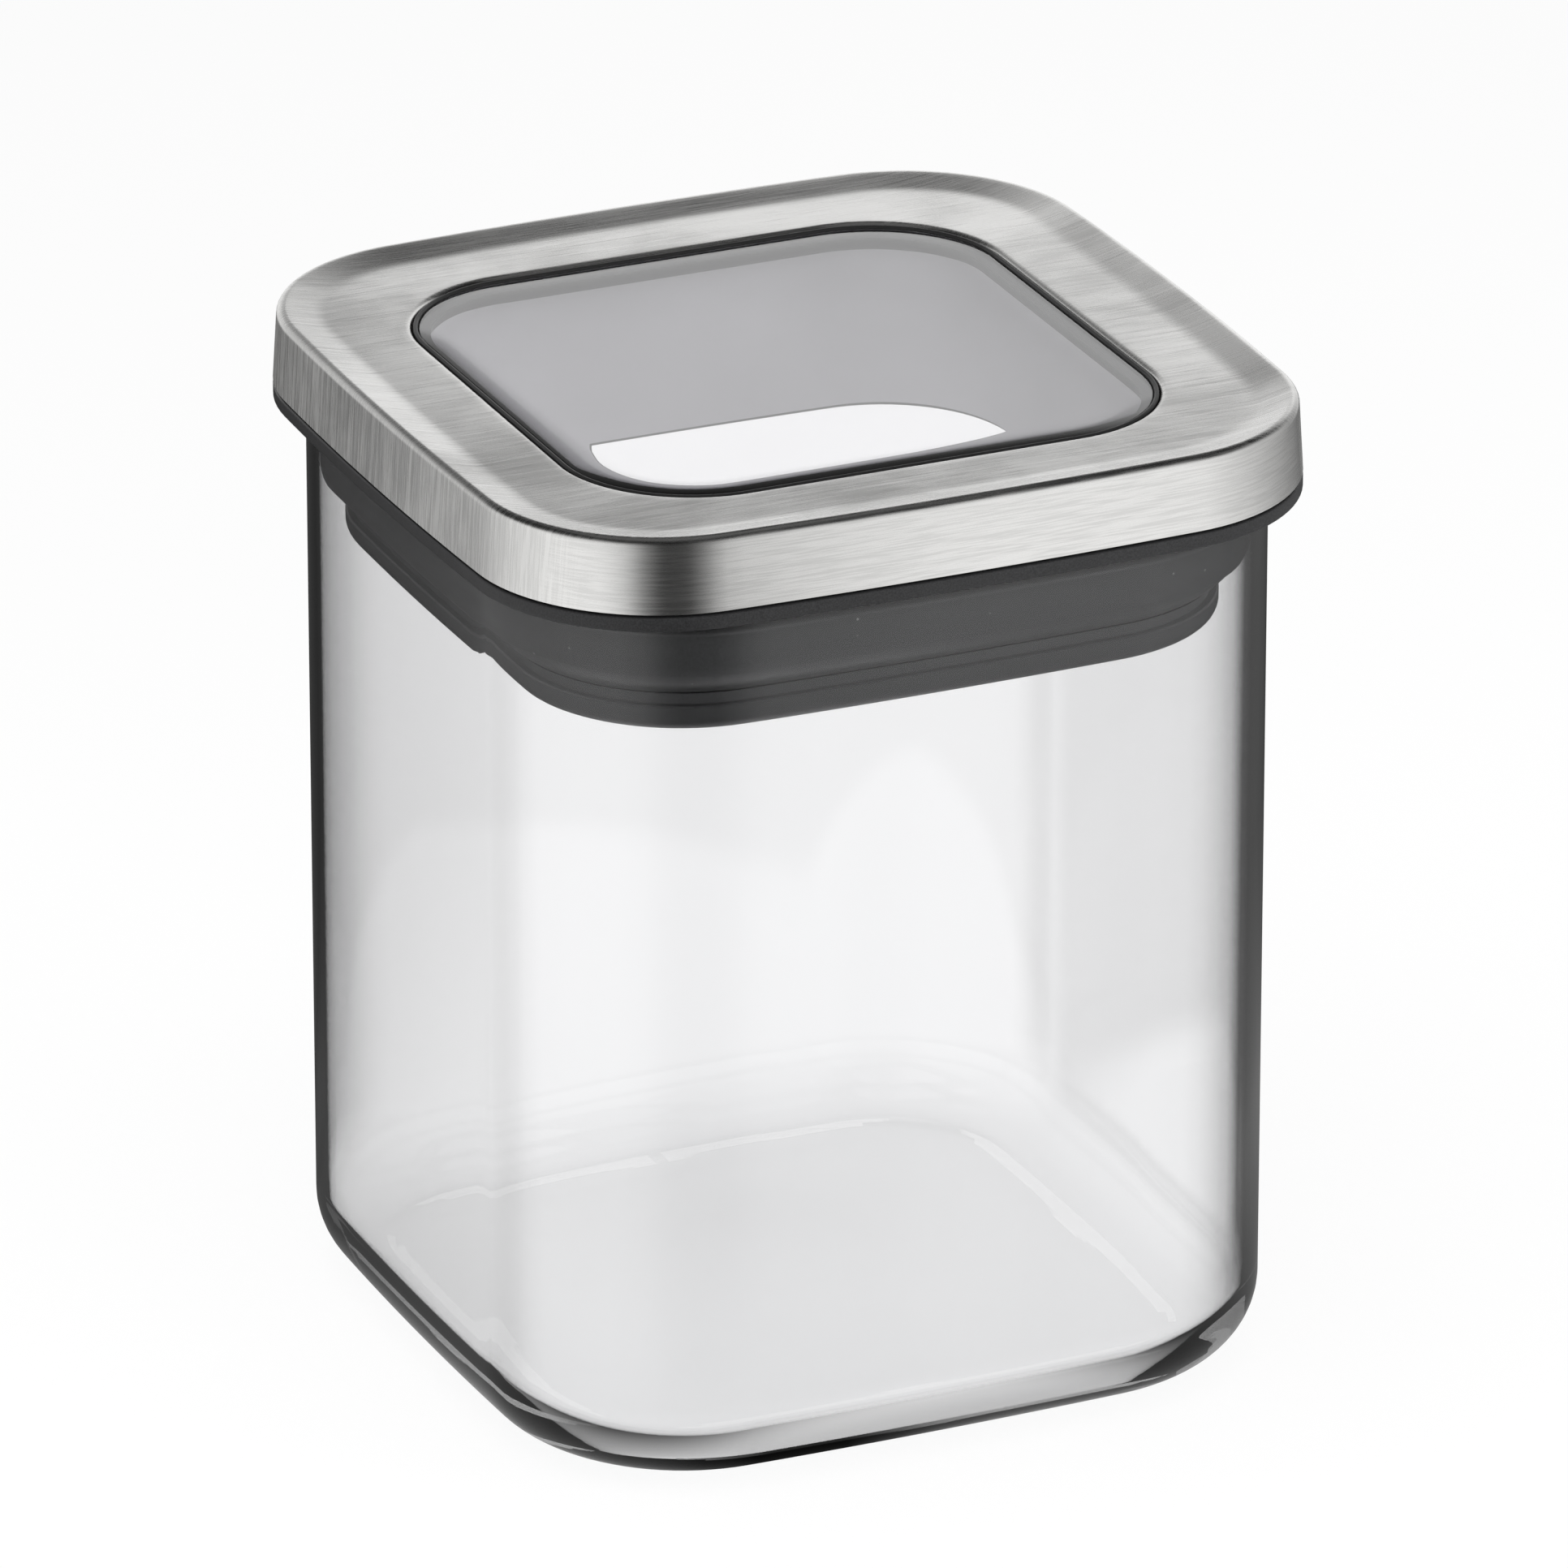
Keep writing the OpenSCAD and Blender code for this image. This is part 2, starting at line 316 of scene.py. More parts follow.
jarHigh = nodeBox("jar")[1]
glassBody = {
    "half": jarHigh[0],           # half width at the middle of a side
    "corner": 26 * mm,
    "turn": 4.0,                  # degrees that a bulged side turns through
    "height": jarHigh[2],
    "wall": 1.8 * mm,
    "floor": 3.4 * mm,
    "floorRise": 0.25 * mm,
    "baseRound": 9.6 * mm,
    "foot": 3 * mm,
    "pushUp": 0.8 * mm,
    "rimRound": 0.62 * mm,
    "tint": (0.985, 0.985, 0.99),
    "floorTint": (0.94, 0.94, 0.945),
    "shadow": (0.93, 0.94, 0.94),
    "edgeShadeFade": (5, 17),        # degrees of turn over which the painted edge shade comes in at a corner
    # how slanting the way through a corner is, and what the painted edge shade lets through there
    "edgeShadeStops": [(0.30, 0.99), (0.36, 0.88), (0.42, 0.68), (0.48, 0.46), (0.56, 0.26), (0.64, 0.10),
                   (0.72, 0.03)],
}


def glassMaterial():
    material, tree, shader = newMaterial("clearGlass")
    shader.inputs["Transmission Weight"].default_value = 1.0
    shader.inputs["IOR"].default_value = 1.47
    shader.inputs["Metallic"].default_value = 0.0
    # painted shade: where the upright corners are seen at a slant the glass is darkened, for the dark
    # surroundings seen bent through it
    facing = addNode(tree, "ShaderNodeLayerWeight", Blend=0.5).outputs["Facing"]
    ramp = addNode(tree, "ShaderNodeValToRGB")
    tree.links.new(facing, ramp.inputs[0])
    setStops(ramp, glassBody["edgeShadeStops"])
    edgeShadeMask = addNode(tree, "ShaderNodeAttribute", {"attribute_name": "paintedEdgeShade"}).outputs["Fac"]
    slant = mixColour(tree, edgeShadeMask, (1, 1, 1), ramp.outputs["Color"])
    low = addNode(tree, "ShaderNodeSeparateXYZ")
    tree.links.new(objectPlace(tree), low.inputs[0])
    inFloor = mapRange(tree, low.outputs["Z"], 0.0045, 0.009, 1, 0, smooth=True)
    tint = mixColour(tree, inFloor, glassBody["tint"], glassBody["floorTint"])
    tree.links.new(mixColour(tree, 1.0, slant, tint, "MULTIPLY"), shader.inputs["Base Color"])
    smear = useGroup(tree, softSmear, Size=38.0, Low=0.0, High=0.012)
    tree.links.new(objectPlace(tree), smear.inputs["Place"])
    tree.links.new(smear.outputs["Value"], shader.inputs["Roughness"])
    wave = addNode(tree, "ShaderNodeTexNoise", Scale=26.0, Detail=1.0)
    tree.links.new(objectPlace(tree), wave.inputs["Vector"])
    bump = addNode(tree, "ShaderNodeBump", Strength=0.05, Distance=0.0004)
    tree.links.new(wave.outputs["Fac"], bump.inputs["Height"])
    tree.links.new(bump.outputs["Normal"], shader.inputs["Normal"])
    letLightThrough(tree, shader, glassBody["shadow"])
    return material


def swell(places, half):
    # (1 - x * x) squared times (1 - y * y) squared, x and y as shares of the half width: 1 in
    # the middle, and 0 without a slope at the edge.
    rest = 1 - np.clip(places[:, :2] / half, -1, 1) ** 2
    return (rest[:, 0] * rest[:, 1]) ** 2


def makeGlassBody(p):
    # Outside from the middle of the underside up to the mouth, then down the inside.
    wall, base, top = p["wall"], p["baseRound"], p["height"]
    bore = base - wall
    boreZ = p["floor"] + bore
    rim = p["rimRound"]
    footIn = base + p["foot"]
    profile = joined(
        line((-p["half"] * centreShare, 0), (-footIn, 0), 22),
        line((-footIn, 0), (-base, 0), 4),
        arc(-base, base, base, -90, 0, 25),
        line((0, base), (0, top - rim), 36),
        arc(-rim, top - rim, rim, 0, 90, 8),
        line((-rim, top), (rim - wall, top), 3),
        arc(rim - wall, top - rim, rim, 90, 180, 8),
        line((-wall, top - rim), (-wall, boreZ), 36),
        arc(-wall - bore, boreZ, bore, 0, -90, 21),
        line((-base, p["floor"]), (-p["half"] * centreShare, p["floor"]), 22),
    )
    poles = ((0, 0, 0), (0, 0, p["floor"]))
    piece = sweepPiece("glassBody", p, profile, "jar_body", ["jar"],
                       glassMaterial(), closed=False, poles=poles)
    places = np.empty(len(piece.data.vertices) * 3)
    piece.data.vertices.foreach_get("co", places)
    places = places.reshape(-1, 3)
    # the middle is pushed up, and the floor over it swells a little
    under = np.abs(places[:, 2]) < hair
    floor = np.abs(places[:, 2] - p["floor"]) < hair
    places[:, 2] += under * p["pushUp"] * swell(places, p["half"] - footIn)
    places[:, 2] += floor * p["floorRise"] * swell(places, p["half"] - base)
    piece.data.vertices.foreach_set("co", places.ravel())
    piece.data.update()
    # where the edge shade is painted: 0 on the sides and on the floor, rising to 1 as the upright corners
    # turn
    c = p["half"] - p["corner"]
    turn = np.degrees(np.arctan2(*(np.sort(np.abs(places[:, :2]), 1) - c).T))
    turned = np.interp(turn, p["edgeShadeFade"], [0, 1])
    onWall = np.clip((np.abs(places[:, :2]).max(1) - c) / (2 * mm), 0, 1)
    upright = np.clip((places[:, 2] - 0.5 * base) / base, 0, 1)
    # the painted edge shade is strongest at the corner at the right of the front
    edgeShadeWeight = np.interp(places[:, 0] - places[:, 1], [-p["half"], p["half"]], [0.7, 1])
    share = turned * onWall * upright * edgeShadeWeight
    piece.data.attributes.new("paintedEdgeShade", "FLOAT", "POINT").data.foreach_set("value", share)
    return piece


makeGlassBody(glassBody)
print("glass body made")


coverLow, coverHigh = nodeBox("lid_cover")
windowShape = {"half": 37.5 * mm, "corner": 16.4 * mm, "turn": 0.0}
steelCover = {
    "half": coverHigh[0],
    "corner": 23 * mm,
    "turn": 5.0,
    "bottom": coverLow[2],
    "crest": coverHigh[2],
    "lean": 0.5 * mm,
    "sheet": 0.7 * mm,
    "crestRound": 1.0 * mm,
    "slopeWidth": 4.0 * mm,
    "dish": 1.0 * mm,
    "lip": 1.6 * mm,
    "lipRound": 0.9 * mm,
    "colour": (0.58, 0.577, 0.567),
    "roughness": 0.25,
    "darkStreak": 0.82,           # share of the colour left in the dark streaks
    "fineShare": 0.72,            # how much of the brushing is fine
    "anisotropy": 0.85,
}


def steelMaterial(p):
    # Steel brushed along X: the front, the back and the top are streaked along X, and the
    # two other sides upright, which is how a sheet brushed before pressing looks.
    material, tree, shader = newMaterial("brushedSteel")
    place = objectPlace(tree)
    normal = addNode(tree, "ShaderNodeNewGeometry").outputs["Normal"]
    split = addNode(tree, "ShaderNodeSeparateXYZ")
    tree.links.new(normal, split.inputs[0])
    front = mapRange(tree, calc(tree, "ABSOLUTE", split.outputs["Y"]), 0.45, 0.75, 0, 1, smooth=True)

    def streaks(scale, detail, stretch):
        # Noise drawn out along one direction, for each of the two faces.
        values = []
        for squeeze in stretch:
            mapping = addNode(tree, "ShaderNodeMapping", {"vector_type": "POINT"})
            mapping.inputs["Scale"].default_value = squeeze
            tree.links.new(place, mapping.inputs["Vector"])
            noise = addNode(tree, "ShaderNodeTexNoise", Scale=scale, Detail=detail, Roughness=0.65)
            tree.links.new(mapping.outputs[0], noise.inputs["Vector"])
            values.append(noise.outputs["Fac"])
        return mixFloat(tree, front, *values)

    fine = streaks(4200.0, 3.0, ((0.03, 1, 0.03), (0.03, 0.05, 1)))
    broad = streaks(1300.0, 4.0, ((0.03, 1, 0.03), (0.03, 0.05, 1)))
    smear = useGroup(tree, softSmear, Size=45.0, Low=-0.03, High=0.04)
    tree.links.new(place, smear.inputs["Place"])
    both = mixFloat(tree, p["fineShare"], broad, fine)
    shade = mapRange(tree, both, 0.4, 0.6, 0, 1, smooth=True)
    dark = tuple(c * p["darkStreak"] for c in p["colour"])
    tree.links.new(mixColour(tree, shade, dark, p["colour"]), shader.inputs["Base Color"])
    rough = mapRange(tree, both, 0.35, 0.65, p["roughness"] - 0.06, p["roughness"] + 0.08)
    tree.links.new(calc(tree, "ADD", rough, smear.outputs["Value"]), shader.inputs["Roughness"])
    shader.inputs["Metallic"].default_value = 1.0
    shader.inputs["Anisotropic"].default_value = p["anisotropy"]
    # the highlight is drawn out across the scratches: along X x normal, or Z x normal on
    # the two faces that look along X
    side = mapRange(tree, calc(tree, "ABSOLUTE", split.outputs["X"]), 0.75, 0.95, 0, 1, smooth=True)
    along = addNode(tree, "ShaderNodeMix", {"data_type": "VECTOR"})
    tree.links.new(side, along.inputs[0])
    along.inputs[4].default_value = (1, 0, 0)
    along.inputs[5].default_value = (0, 0, 1)
    across = addNode(tree, "ShaderNodeVectorMath", {"operation": "CROSS_PRODUCT"})
    tree.links.new(along.outputs[1], across.inputs[0])
    tree.links.new(normal, across.inputs[1])
    tree.links.new(across.outputs[0], shader.inputs["Tangent"])
    bump = addNode(tree, "ShaderNodeBump", Strength=0.5, Distance=0.00002)
    tree.links.new(both, bump.inputs["Height"])
    tree.links.new(bump.outputs["Normal"], shader.inputs["Normal"])
    return material


def makeSteelCover(p, window):
    # Outer face from the foot of the skirt over the crest to the window's edge, then back
    # along the inner face. Between the slope and the window each ring is a blend of the
    # cover's outline and the window's.
    low, crest, t = p["bottom"], p["crest"], p["sheet"]
    r, lean = p["crestRound"], p["lean"]
    deck = crest - p["dish"]
    angle = np.degrees(np.arctan2(p["dish"], p["slopeWidth"]))
    count = len(outline(p)[0])

    def pressed(g):
        # Skirt, crest and slope, g inside the outer face.
        midX, midZ = -lean - r, crest - r
        top = arc(midX, midZ, r - g, 0, 90 + angle, 11 if g == 0 else 6)
        run = (top[-1, 1] - (deck - g)) / np.tan(np.radians(angle))
        foot = np.array([top[-1, 0] - run, deck - g])
        soft = 0.9 * mm      # the bend at the foot of the slope is eased over this length
        before = foot + np.array([np.cos(np.radians(angle)), np.sin(np.radians(angle))]) * soft
        after = foot - np.array([soft, 0])
        s = np.linspace(0, 1, 7)[:, None]
        bend = (1 - s) ** 2 * before + 2 * s * (1 - s) * foot + s ** 2 * after
        return joined(line((-g, low), (-lean - g, midZ), 10), top, line(top[-1], before, 6), bend)

    def asRings(profile, shape):
        return [np.column_stack([ring(shape, d), np.full(count, z)]) for d, z in profile]

    def flat(a, b, z, steps=12):
        return [np.column_stack([a + (b - a) * s, np.full(count, z)])
                for s in np.linspace(0, 1, steps)[1:-1]]

    outer, inner = pressed(0.0), pressed(t)
    lr = p["lipRound"]
    lipOut = joined(arc(lr, deck - lr, lr, 90, 180, 9), line((0, deck - lr), (0, deck - p["lip"]), 4))
    lipIn = joined(line((t, deck - p["lip"]), (t, deck - lr), 4), arc(lr, deck - lr, lr - t, 180, 90, 5))
    rows = asRings(outer, p)
    rows += flat(ring(p, outer[-1, 0]), ring(window, lr), deck)
    rows += asRings(lipOut, window) + asRings(lipIn, window)
    rows += flat(ring(window, lr), ring(p, inner[-1, 0]), deck - t)
    rows += asRings(inner[::-1], p)
    mesh = meshFromGrid("steelCover", np.stack(rows), True)
    mesh.set_sharp_from_angle(angle=np.radians(50))
    return addPiece("steelCover", mesh, "lid", ["lid_cover"], steelMaterial(p))


makeSteelCover(steelCover, windowShape)
print("steel cover made")


frameLow = nodeBox("lid_frame")[0]
lidFrame = {
    "mouth": glassBody["height"],
    "bandTop": steelCover["bottom"],
    "plugBottom": frameLow[2],
    "ringRound": 2 * mm,
    "ringOffset": -5.7 * mm,      # lower ring, from the glass's outline
    "seatOffset": -7.7 * mm,
    "hollowOffset": -9.5 * mm,
    "ringHeight": 3.3 * mm,
    "shelf": 1.4 * mm,
    "shelfHole": -2.3 * mm,       # from the window's outline
    "bandRound": 0.3 * mm,
    "gap": 0.35 * mm,             # dark line between the band and the steel
    "colour": (0.012, 0.012, 0.0125),
    # painted light: the hollow's wall is pale grey for the light and reflections seen on it through the pane
    "paintedLightHollowColour": (0.52, 0.515, 0.535),
    "ringColour": (0.036, 0.036, 0.037),
}


def frameMaterial(p):
    material, tree, shader = newMaterial("satinBlackPlastic")
    place = objectPlace(tree)
    grain = useGroup(tree, fineGrain, Grain=5200.0, Dust=0.35)
    tree.links.new(place, grain.inputs["Place"])
    smear = useGroup(tree, softSmear, Size=60.0, Low=0.34, High=0.46)
    tree.links.new(place, smear.inputs["Place"])
    tree.links.new(smear.outputs["Value"], shader.inputs["Roughness"])
    shader.inputs["Specular IOR Level"].default_value = 0.22
    lighter = tuple(c * 2.2 for c in p["colour"])
    base = mixColour(tree, mapRange(tree, grain.outputs["Grain"], 0.35, 0.7, 0, 1), p["colour"], lighter)
    tree.links.new(mixColour(tree, grain.outputs["Dust"], base, (0.35, 0.35, 0.35)),
                   shader.inputs["Base Color"])
    bump = addNode(tree, "ShaderNodeBump", Strength=0.12, Distance=0.00003)
    tree.links.new(grain.outputs["Grain"], bump.inputs["Height"])
    tree.links.new(bump.outputs["Normal"], shader.inputs["Normal"])
    return material


def plugMaterial(name, colour):
    material, tree, shader = newMaterial(name)
    place = objectPlace(tree)
    grain = useGroup(tree, fineGrain, Grain=3000.0, Dust=0.2)
    tree.links.new(place, grain.inputs["Place"])
    smear = useGroup(tree, softSmear, Size=18.0, Low=0.0, High=1.0)
    tree.links.new(place, smear.inputs["Place"])
    darker = tuple(c * 0.88 for c in colour)
    lighter = tuple(min(1, c + 0.15) for c in colour)
    base = mixColour(tree, smear.outputs["Value"], darker, colour)
    tree.links.new(mixColour(tree, grain.outputs["Dust"], base, lighter), shader.inputs["Base Color"])
    tree.links.new(mapRange(tree, grain.outputs["Grain"], 0.3, 0.7, 0.32, 0.42),
                   shader.inputs["Roughness"])
    return material


def makeLidFrame(p, cover, glass, window):
    # Band, plug and shelf as one closed skin: out along the underside of the band, up and
    # back over its top, up the plug, in over the shelf, and down the hollow to the ring.
    count = len(outline(cover)[0])
    deck = cover["crest"] - cover["dish"]
    top = deck - cover["sheet"]
    paneTop = deck - 0.4 * mm
    shelfTop = paneTop - 2.2 * mm
    b = p["bandRound"]
    seat, hollow, low = p["seatOffset"], p["hollowOffset"], p["plugBottom"]
    rr, ringTop = p["ringRound"], p["plugBottom"] + p["ringHeight"]

    def rows(shape, profile):
        return [np.column_stack([ring(shape, d), np.full(count, z)]) for d, z in profile]

    plugUnder = joined(
        line((hollow, low + 0.5 * mm), (hollow + 0.5 * mm, low), 3),
        line((hollow + 0.5 * mm, low), (p["ringOffset"] - rr, low), 4),
        arc(p["ringOffset"] - rr, low + rr, rr, -90, 0, 12),
        line((p["ringOffset"], low + rr), (p["ringOffset"], ringTop - 0.2 * mm), 3),
        (p["ringOffset"] - 0.2 * mm, ringTop), (seat, ringTop),
        line((seat, ringTop), (seat, p["mouth"]), 6))
    g = p["gap"]
    bandUnder = joined(
        arc(-b, p["mouth"] + b, b, -90, 0, 6),
        arc(-b, p["bandTop"] - g - b, b, 0, 90, 6),
        (-2 * g, p["bandTop"] - g), (-2 * g, p["bandTop"]))
    inside = joined((-1.6 * mm, p["bandTop"]), (-2.0 * mm, top - 0.4 * mm), (-3.2 * mm, top - 0.4 * mm),
                    (-3.0 * mm, p["bandTop"] + 0.3 * mm))
    plugTop = joined((seat, p["bandTop"] + 0.3 * mm), (seat, top), (hollow, top), (hollow, shelfTop))
    shelf = joined((p["shelfHole"], shelfTop), (p["shelfHole"], shelfTop - p["shelf"]))
    under = line((hollow, shelfTop - p["shelf"]), (hollow, low + 0.5 * mm), 10)[:-1]
    grid = rows(glass, plugUnder) + rows(cover, bandUnder) + rows(cover, inside)
    grid += rows(glass, plugTop) + rows(window, shelf) + rows(glass, under)
    mesh = meshFromGrid("lidFrame", np.stack(grid), True)
    mesh.set_sharp_from_angle(angle=np.radians(40))
    piece = addPiece("lidFrame", mesh, "lid", ["lid_frame"], frameMaterial(p))
    # the last rows go down the hollow, whose wall is painted pale grey: painted light for the light and
    # reflections seen on it through the pane; the first ones round the lower ring, which is as grey as the
    # seal
    piece.data.materials.append(plugMaterial("paintedLightPlugWall", p["paintedLightHollowColour"]))
    piece.data.materials.append(plugMaterial("greyPlugRing", p["ringColour"]))
    index = np.zeros(len(mesh.polygons), dtype=np.int32)
    index[(len(grid) - len(under)) * count:] = 1
    index[:(len(plugUnder) - 3) * count] = 2
    mesh.polygons.foreach_set("material_index", index)
    return piece


makeLidFrame(lidFrame, steelCover, glassBody, windowShape)
print("lid frame made")


lipSeal = {
    "clear": 0.15 * mm,
    "lipStart": 2.0 * mm,     # below the mouth
    "lipFlat": 2.4 * mm,
    "flare": 7.0 * mm,
    "step": 0.35 * mm,
    "topRound": 0.8 * mm,
    "colour": (0.036, 0.036, 0.037),
}


def sealMaterial(p):
    material, tree, shader = newMaterial("darkSilicone")
    place = objectPlace(tree)
    grain = useGroup(tree, fineGrain, Grain=3800.0, Dust=0.5)
    tree.links.new(place, grain.inputs["Place"])
    smear = useGroup(tree, softSmear, Size=32.0, Low=0.34, High=0.5)
    tree.links.new(place, smear.inputs["Place"])
    tree.links.new(smear.outputs["Value"], shader.inputs["Roughness"])
    lighter = tuple(c * 1.35 for c in p["colour"])
    base = mixColour(tree, mapRange(tree, grain.outputs["Grain"], 0.3, 0.7, 0, 1), p["colour"], lighter)
    tree.links.new(mixColour(tree, grain.outputs["Dust"], base, (0.4, 0.4, 0.4)),
                   shader.inputs["Base Color"])
    shader.inputs["Sheen Weight"].default_value = 0.04
    shader.inputs["Sheen Roughness"].default_value = 0.4
    bump = addNode(tree, "ShaderNodeBump", Strength=0.1, Distance=0.00003)
    tree.links.new(grain.outputs["Grain"], bump.inputs["Height"])
    tree.links.new(bump.outputs["Normal"], shader.inputs["Normal"])
    return material


def makeSeal(p, glass, lid):
    # Neck under the band, round-topped lip, flare on an arc that starts upright, groove.
    lip = -glass["wall"] - p["clear"]
    ringD, inner = lid["ringOffset"], lid["seatOffset"] + 0.04 * mm
    topZ = lid["mouth"] - p["lipStart"]
    flareZ = topZ - p["lipFlat"]
    foot = flareZ - p["flare"]
    lean = lip - ringD
    big = (p["flare"] ** 2 + lean ** 2) / (2 * lean)
    end = np.degrees(np.arcsin(p["flare"] / big))
    half = np.degrees(np.arcsin(p["flare"] / 2 / big))
    r, low = p["topRound"], lid["plugBottom"] + lid["ringHeight"]
    grooveD = inner + 1.0 * mm
    small = big - p["step"]
    profile = joined(
        (inner, low), (grooveD, low), (grooveD, foot), (ringD - p["step"], foot),
        arc(lip - big, flareZ, small, -np.degrees(np.arcsin(p["flare"] / small)), -half - 0.6, 14),
        arc(lip - big, flareZ, big, -half, 0, 14),
        line((lip, flareZ), (lip, topZ - r), 5),
        arc(lip - r, topZ - r, r, 0, 90, 7),
        line((lip - r, topZ), (ringD + 1.0 * mm, topZ), 3),
        (ringD + 1.0 * mm, lid["mouth"]), (inner, lid["mouth"]))
    piece = sweepPiece("sealRing", glass, profile, "lid", ["seal_ring"], sealMaterial(p))
    piece.data.set_sharp_from_angle(angle=np.radians(38))
    return piece


makeSeal(lipSeal, glassBody, lidFrame)
print("seal made")


paneLow, paneHigh = nodeBox("window_pane")
windowPane = {
    "inset": -0.7 * mm,
    "bottom": paneLow[2],
    "top": paneHigh[2],
    "edge": 0.25 * mm,
    "tint": (0.985, 0.98, 0.995),
    "shadow": (0.85, 0.85, 0.87),
}
windowGasket = {"width": 0.62 * mm, "colour": (0.006, 0.006, 0.006)}


def paneMaterial(p):
    material, tree, shader = newMaterial("clearPane")
    shader.inputs["Transmission Weight"].default_value = 1.0
    shader.inputs["IOR"].default_value = 1.49
    shader.inputs["Metallic"].default_value = 0.0
    place = objectPlace(tree)
    smear = useGroup(tree, softSmear, Size=22.0, Low=0.0, High=1.0)
    tree.links.new(place, smear.inputs["Place"])
    tree.links.new(calc(tree, "MULTIPLY", smear.outputs["Value"], 0.02), shader.inputs["Roughness"])
    cloudy = tuple(c * 0.97 for c in p["tint"])
    tree.links.new(mixColour(tree, smear.outputs["Value"], p["tint"], cloudy), shader.inputs["Base Color"])
    letLightThrough(tree, shader, p["shadow"])
    return material


def gasketMaterial(p):
    material, tree, shader = newMaterial("blackGasket")
    place = objectPlace(tree)
    grain = useGroup(tree, fineGrain, Grain=6000.0, Dust=0.2)
    tree.links.new(place, grain.inputs["Place"])
    lighter = tuple(c * 2 for c in p["colour"])
    tree.links.new(mixColour(tree, grain.outputs["Grain"], p["colour"], lighter), shader.inputs["Base Color"])
    tree.links.new(mapRange(tree, grain.outputs["Grain"], 0.3, 0.7, 0.45, 0.6), shader.inputs["Roughness"])
    return material


def makeWindow(p, gasket, shape):
    # The pane is a plate with small chamfers; the gasket is a round-topped ring.
    e, d = p["edge"], p["inset"]
    profile = joined(
        line((-shape["half"] * centreShare, p["bottom"]), (d - e, p["bottom"]), 8),
        arc(d - e, p["bottom"] + e, e, -90, 0, 5),
        arc(d - e, p["top"] - e, e, 0, 90, 5),
        line((d - e, p["top"]), (-shape["half"] * centreShare, p["top"]), 8))
    poles = ((0, 0, p["bottom"]), (0, 0, p["top"]))
    sweepPiece("windowPane", shape, profile, "lid", ["window_pane"], paneMaterial(p),
               closed=False, poles=poles)
    w = gasket["width"] / 2
    mid = -0.35 * mm
    ringProfile = joined(
        (mid - w, p["bottom"]), (mid + w, p["bottom"]),
        line((mid + w, p["bottom"]), (mid + w, p["top"]), 4),
        arc(mid, p["top"], w, 0, 180, 9),
        line((mid - w, p["top"]), (mid - w, p["bottom"]), 4)[:-1])
    sweepPiece("windowGasket", shape, ringProfile, "lid", ["window_gasket"],
               gasketMaterial(gasket))


makeWindow(windowPane, windowGasket, windowShape)
print("window made")


studio = {
    "viewTurn": -23.88,      # degrees round the jar from straight in front
    "viewTilt": 22.99,
    "distance": 1.7703,
    "aimHeight": 0.0673,
    "lens": 339.3,
    "white": 1.0,            # what the camera sees round the jar and straight through it
    "underBase": 0.3,        # share of the cards' light that the floor mirrors beside the base
    "nearBase": (0.06, 0.11),     # distances over which that share rises to all of it
    "baseGlow": 0.8,         # what light that was mirrored inside a clear wall sees under the jar
    "edgeDark": 0.0,         # and what it sees on the floor farther out
    "baseEdge": (0.046, 0.060),   # distances over which the one gives way to the other
    "bentAbove": 0.4,        # the least that it sees above the floor
    "bentMost": 0.9,         # and the most
    "overhead": 0.18,        # what metal sees above the cards
    "cardPower": 1.5,        # how much brighter than white the cards are
    "dropTurn": (2, 19),     # degrees over which the high cards' upper edge comes down
    "dropHeight": 0.03,
    "highFrom": (0.08, 0.108),    # heights over which the high cards begin
    "lowUpTo": (0.15, 0.23),      # heights over which the low cards fade
    "lowRest": 0.03,              # what is left of them above
    "fill": 0.42,            # what lights the object
    "floorSize": 6.0,
    "floorGlow": 0.85,       # share of plain white in the floor; the rest keeps the shadow
}


softboxes = {
    "topBox": {"place": (-0.2, -0.1, 0.9), "target": (0, 0, 0.06), "size": (0.7, 0.7), "power": 5.0},
    "frontBox": {"place": (-0.25, -1.0, 0.45), "target": (0, 0, 0.07), "size": (0.6, 0.6), "power": 5.0},
    "rightBox": {"place": (0.8, -0.7, 0.5), "target": (0, 0, 0.07), "size": (0.4, 0.9), "power": 6.0},
}

cardTents = {
    "jarCards": {"radius": 0.185, "bottom": 0.001, "top": 0.19, "body": None},
    "lidCards": {"radius": 0.18, "bottom": 0.04, "top": 0.5, "body": "lid"},
}


def pointAt(obj, target):
    obj.rotation_mode = "QUATERNION"
    obj.rotation_quaternion = (Vector(target) - obj.location).to_track_quat("-Z", "Y")


def makeCamera(p):
    a, e = np.radians(p["viewTurn"]), np.radians(p["viewTilt"])
    back = Vector((np.sin(a) * np.cos(e), -np.cos(a) * np.cos(e), np.sin(e)))
    data = bpy.data.cameras.new("photoCamera")
    data.lens = p["lens"]
    data.sensor_width = 36
    data.clip_start, data.clip_end = 0.05, 50
    camera = bpy.data.objects.new("photoCamera", data)
    bpy.context.scene.collection.objects.link(camera)
    camera.location = Vector((0, 0, p["aimHeight"])) + back * p["distance"]
    pointAt(camera, (0, 0, p["aimHeight"]))
    bpy.context.scene.camera = camera


def makeLamps(boxes):
    for name, p in boxes.items():
        data = bpy.data.lights.new(name, "AREA")
        data.shape = "RECTANGLE"
        data.size, data.size_y = p["size"]
        data.energy = p["power"]
        lamp = bpy.data.objects.new(name, data)
        bpy.context.scene.collection.objects.link(lamp)
        lamp.location = p["place"]
        lamp.visible_glossy = False      # metal and glass mirror the cards instead
        lamp.visible_transmission = False
        pointAt(lamp, p["target"])


